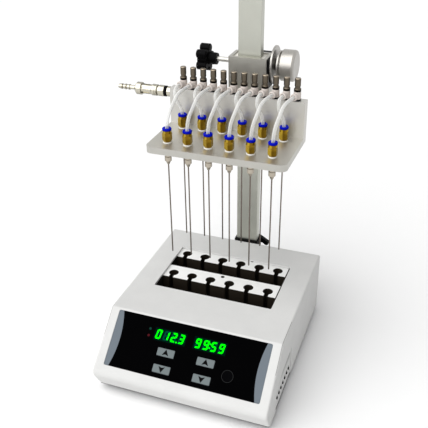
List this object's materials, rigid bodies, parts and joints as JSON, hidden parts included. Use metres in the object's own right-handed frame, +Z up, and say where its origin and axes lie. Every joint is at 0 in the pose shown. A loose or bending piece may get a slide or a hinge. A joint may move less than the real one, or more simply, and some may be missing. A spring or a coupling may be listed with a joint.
{
  "type": "nitrogen sample evaporator",
  "caption": "Bench sample evaporator: a dry-bath heater with tube wells in an aluminium block, and a needle gas head that a handwheel raises and lowers on a column behind it.",
  "frame": {"origin": "on the plane under the rubber feet, below the middle of the base unit's cover", "axes": "X to the right as seen by the person at the panel, Y to the rear, Z up; the control panel faces -Y"},
  "size_m": [0.2609, 0.2894, 0.4325],
  "materials": {
    "cover_paint": "fine matt powder coat, off-white",
    "pan_paint": "dark grey paint",
    "foot_rubber": "matt black",
    "screw_steel": "plain steel",
    "overlay_film": "black film, satin",
    "display_window": "dark green tinted window",
    "board_green": "circuit board",
    "key_grey": "satin grey",
    "start_key_dark": "satin dark grey",
    "block_aluminium": "milled",
    "probe_steel": "plain",
    "heater": "heat-proof sheet",
    "tray_dark": "dark heat-proof moulding",
    "power_board": "circuit board",
    "inlet_black": "black moulding",
    "rocker_black": "black moulding",
    "bracket_black": "black paint",
    "column_aluminium": "satin anodised",
    "rack_steel": "cut steel",
    "knob_black": "black moulding",
    "sleeve_aluminium": "satin anodised",
    "liner_white": "sliding plastic",
    "handwheel_aluminium": "turned and brushed",
    "head_aluminium": "satin anodised",
    "valve_white": "white moulding",
    "valve_black": "black moulding",
    "valve_nickel": "dark nickel plate",
    "brass": "bright brass",
    "ring_blue": "blue moulding",
    "washer_white": "white washer",
    "needle_steel": "bright steel",
    "hub_nickel": "nickel plate",
    "tube_clear": "milky translucent tube",
    "coupler_nickel": "bright nickel plate",
    "seal_black": "black ring"
  },
  "bodies": {
    "base_unit": {"top_cover": "cover_paint", "base_pan": "pan_paint", "rubber_feet": "foot_rubber", "base_screws": "screw_steel", "panel_overlay": "overlay_film", "display_windows": "display_window", "control_board": "board_green", "heating_block": "block_aluminium", "temperature_probe": "probe_steel", "heater_plate": "heater", "block_tray": "tray_dark", "power_board": "power_board", "power_inlet": "inlet_black", "column_bracket": "bracket_black", "column": "column_aluminium", "rack": "rack_steel", "column_cap": "knob_black"},
    "carriage": {"carriage_sleeve": "sleeve_aluminium", "slide_liners": "liner_white", "pinion_housing": "knob_black", "head_arm": "sleeve_aluminium", "needle_plate": "head_aluminium", "gas_manifold": "head_aluminium", "head_screws": "screw_steel", "valve_bases": "valve_black", "valve_bodies": "valve_white", "fitting_bodies": "brass", "release_rings": "ring_blue", "seal_washers": "washer_white", "needle_hubs": "hub_nickel", "needles": "needle_steel", "gas_tubes_front": "tube_clear", "gas_tubes_rear": "tube_clear", "coupler_socket": "coupler_nickel", "coupler_seal": "seal_black", "hose_plug": "coupler_nickel"},
    "handwheel": {"handwheel": "handwheel_aluminium", "pinion_shaft": "rack_steel"},
    "lock": {"lock_knob": "knob_black"},
    "lock_pad": {"lock_pad": "brass"},
    "coupler_sleeve": {"coupler_sleeve": "coupler_nickel"},
    "clamp_knob": {"clamp_knob": "knob_black"},
    "power_rocker": {"power_rocker": "rocker_black"},
    "key_temperature_up": {"key_temperature_up": "key_grey"},
    "key_temperature_down": {"key_temperature_down": "key_grey"},
    "key_time_up": {"key_time_up": "key_grey"},
    "key_time_down": {"key_time_down": "key_grey"},
    "key_start": {"key_start": "start_key_dark"},
    "valve_knob_01": {"valve_knob_01": "valve_nickel"},
    "valve_knob_02": {"valve_knob_02": "valve_nickel"},
    "valve_knob_03": {"valve_knob_03": "valve_nickel"},
    "valve_knob_04": {"valve_knob_04": "valve_nickel"},
    "valve_knob_05": {"valve_knob_05": "valve_nickel"},
    "valve_knob_06": {"valve_knob_06": "valve_nickel"},
    "valve_knob_07": {"valve_knob_07": "valve_nickel"},
    "valve_knob_08": {"valve_knob_08": "valve_nickel"},
    "valve_knob_09": {"valve_knob_09": "valve_nickel"},
    "valve_knob_10": {"valve_knob_10": "valve_nickel"},
    "valve_knob_11": {"valve_knob_11": "valve_nickel"},
    "valve_knob_12": {"valve_knob_12": "valve_nickel"}
  },
  "joints": [
    {"name": "key_temperature_up_press", "type": "slide", "parent": "base_unit", "child": "key_temperature_up", "axis": [0, 0.6561, -0.7547], "range_m": [0, 0.0005], "stiffness_N_per_m": 400, "springref_m": -0.0006},
    {"name": "key_temperature_down_press", "type": "slide", "parent": "base_unit", "child": "key_temperature_down", "axis": [0, 0.6561, -0.7547], "range_m": [0, 0.0005], "stiffness_N_per_m": 400, "springref_m": -0.0006},
    {"name": "key_time_up_press", "type": "slide", "parent": "base_unit", "child": "key_time_up", "axis": [0, 0.6561, -0.7547], "range_m": [0, 0.0005], "stiffness_N_per_m": 400, "springref_m": -0.0006},
    {"name": "key_time_down_press", "type": "slide", "parent": "base_unit", "child": "key_time_down", "axis": [0, 0.6561, -0.7547], "range_m": [0, 0.0005], "stiffness_N_per_m": 400, "springref_m": -0.0006},
    {"name": "key_start_press", "type": "slide", "parent": "base_unit", "child": "key_start", "axis": [0, 0.6561, -0.7547], "range_m": [0, 0.0005], "stiffness_N_per_m": 400, "springref_m": -0.0006},
    {"name": "power_rocker_tilt", "type": "hinge", "parent": "base_unit", "child": "power_rocker", "pos_m": [-0.07, 0.121, 0.0585], "axis": [1, 0, 0], "range_deg": [0, 16]},
    {"name": "clamp_knob_turn", "type": "hinge", "parent": "base_unit", "child": "clamp_knob", "pos_m": [0.0018, 0.15, 0.079], "axis": [0, 1, 0], "range_deg": [-30, 720]},
    {"name": "carriage_slide", "type": "slide", "parent": "base_unit", "child": "carriage", "axis": [0, 0, 1], "range_m": [-0.07, 0.075]},
    {"name": "handwheel_turn", "type": "hinge", "parent": "carriage", "child": "handwheel", "pos_m": [0.03, 0.143, 0.3325], "axis": [1, 0, 0], "range_deg": [-700, 750]},
    {"name": "lock_knob_turn", "type": "hinge", "parent": "carriage", "child": "lock", "pos_m": [-0.04, 0.132, 0.336], "axis": [1, 0, 0], "range_deg": [0, 90]},
    {"name": "lock_pad_press", "type": "slide", "parent": "carriage", "child": "lock_pad", "axis": [1, 0, 0], "range_m": [0, 0.0003]},
    {"name": "coupler_sleeve_slide", "type": "slide", "parent": "carriage", "child": "coupler_sleeve", "axis": [1, 0, 0], "range_m": [0, 0.0016], "stiffness_N_per_m": 1500, "springref_m": -0.0015},
    {"name": "valve_knob_01_turn", "type": "hinge", "parent": "carriage", "child": "valve_knob_01", "pos_m": [-0.0687, 0.091, 0.3275], "axis": [0, 0, 1], "range_deg": [0, 1080]},
    {"name": "valve_knob_02_turn", "type": "hinge", "parent": "carriage", "child": "valve_knob_02", "pos_m": [-0.0561, 0.091, 0.3275], "axis": [0, 0, 1], "range_deg": [0, 1080]},
    {"name": "valve_knob_03_turn", "type": "hinge", "parent": "carriage", "child": "valve_knob_03", "pos_m": [-0.0435, 0.091, 0.3275], "axis": [0, 0, 1], "range_deg": [0, 1080]},
    {"name": "valve_knob_04_turn", "type": "hinge", "parent": "carriage", "child": "valve_knob_04", "pos_m": [-0.0309, 0.091, 0.3275], "axis": [0, 0, 1], "range_deg": [0, 1080]},
    {"name": "valve_knob_05_turn", "type": "hinge", "parent": "carriage", "child": "valve_knob_05", "pos_m": [-0.0183, 0.091, 0.3275], "axis": [0, 0, 1], "range_deg": [0, 1080]},
    {"name": "valve_knob_06_turn", "type": "hinge", "parent": "carriage", "child": "valve_knob_06", "pos_m": [-0.0057, 0.091, 0.3275], "axis": [0, 0, 1], "range_deg": [0, 1080]},
    {"name": "valve_knob_07_turn", "type": "hinge", "parent": "carriage", "child": "valve_knob_07", "pos_m": [0.0069, 0.091, 0.3275], "axis": [0, 0, 1], "range_deg": [0, 1080]},
    {"name": "valve_knob_08_turn", "type": "hinge", "parent": "carriage", "child": "valve_knob_08", "pos_m": [0.0195, 0.091, 0.3275], "axis": [0, 0, 1], "range_deg": [0, 1080]},
    {"name": "valve_knob_09_turn", "type": "hinge", "parent": "carriage", "child": "valve_knob_09", "pos_m": [0.0321, 0.091, 0.3275], "axis": [0, 0, 1], "range_deg": [0, 1080]},
    {"name": "valve_knob_10_turn", "type": "hinge", "parent": "carriage", "child": "valve_knob_10", "pos_m": [0.0447, 0.091, 0.3275], "axis": [0, 0, 1], "range_deg": [0, 1080]},
    {"name": "valve_knob_11_turn", "type": "hinge", "parent": "carriage", "child": "valve_knob_11", "pos_m": [0.0573, 0.091, 0.3275], "axis": [0, 0, 1], "range_deg": [0, 1080]},
    {"name": "valve_knob_12_turn", "type": "hinge", "parent": "carriage", "child": "valve_knob_12", "pos_m": [0.0699, 0.091, 0.3275], "axis": [0, 0, 1], "range_deg": [0, 1080]}
  ],
  "couplings": [
    {"joint": "handwheel_turn", "follows": "carriage_slide", "rad_per_m": 166.67},
    {"joint": "lock_pad_press", "follows": "lock_knob_turn", "m_per_rad": 0.00015915}
  ]
}
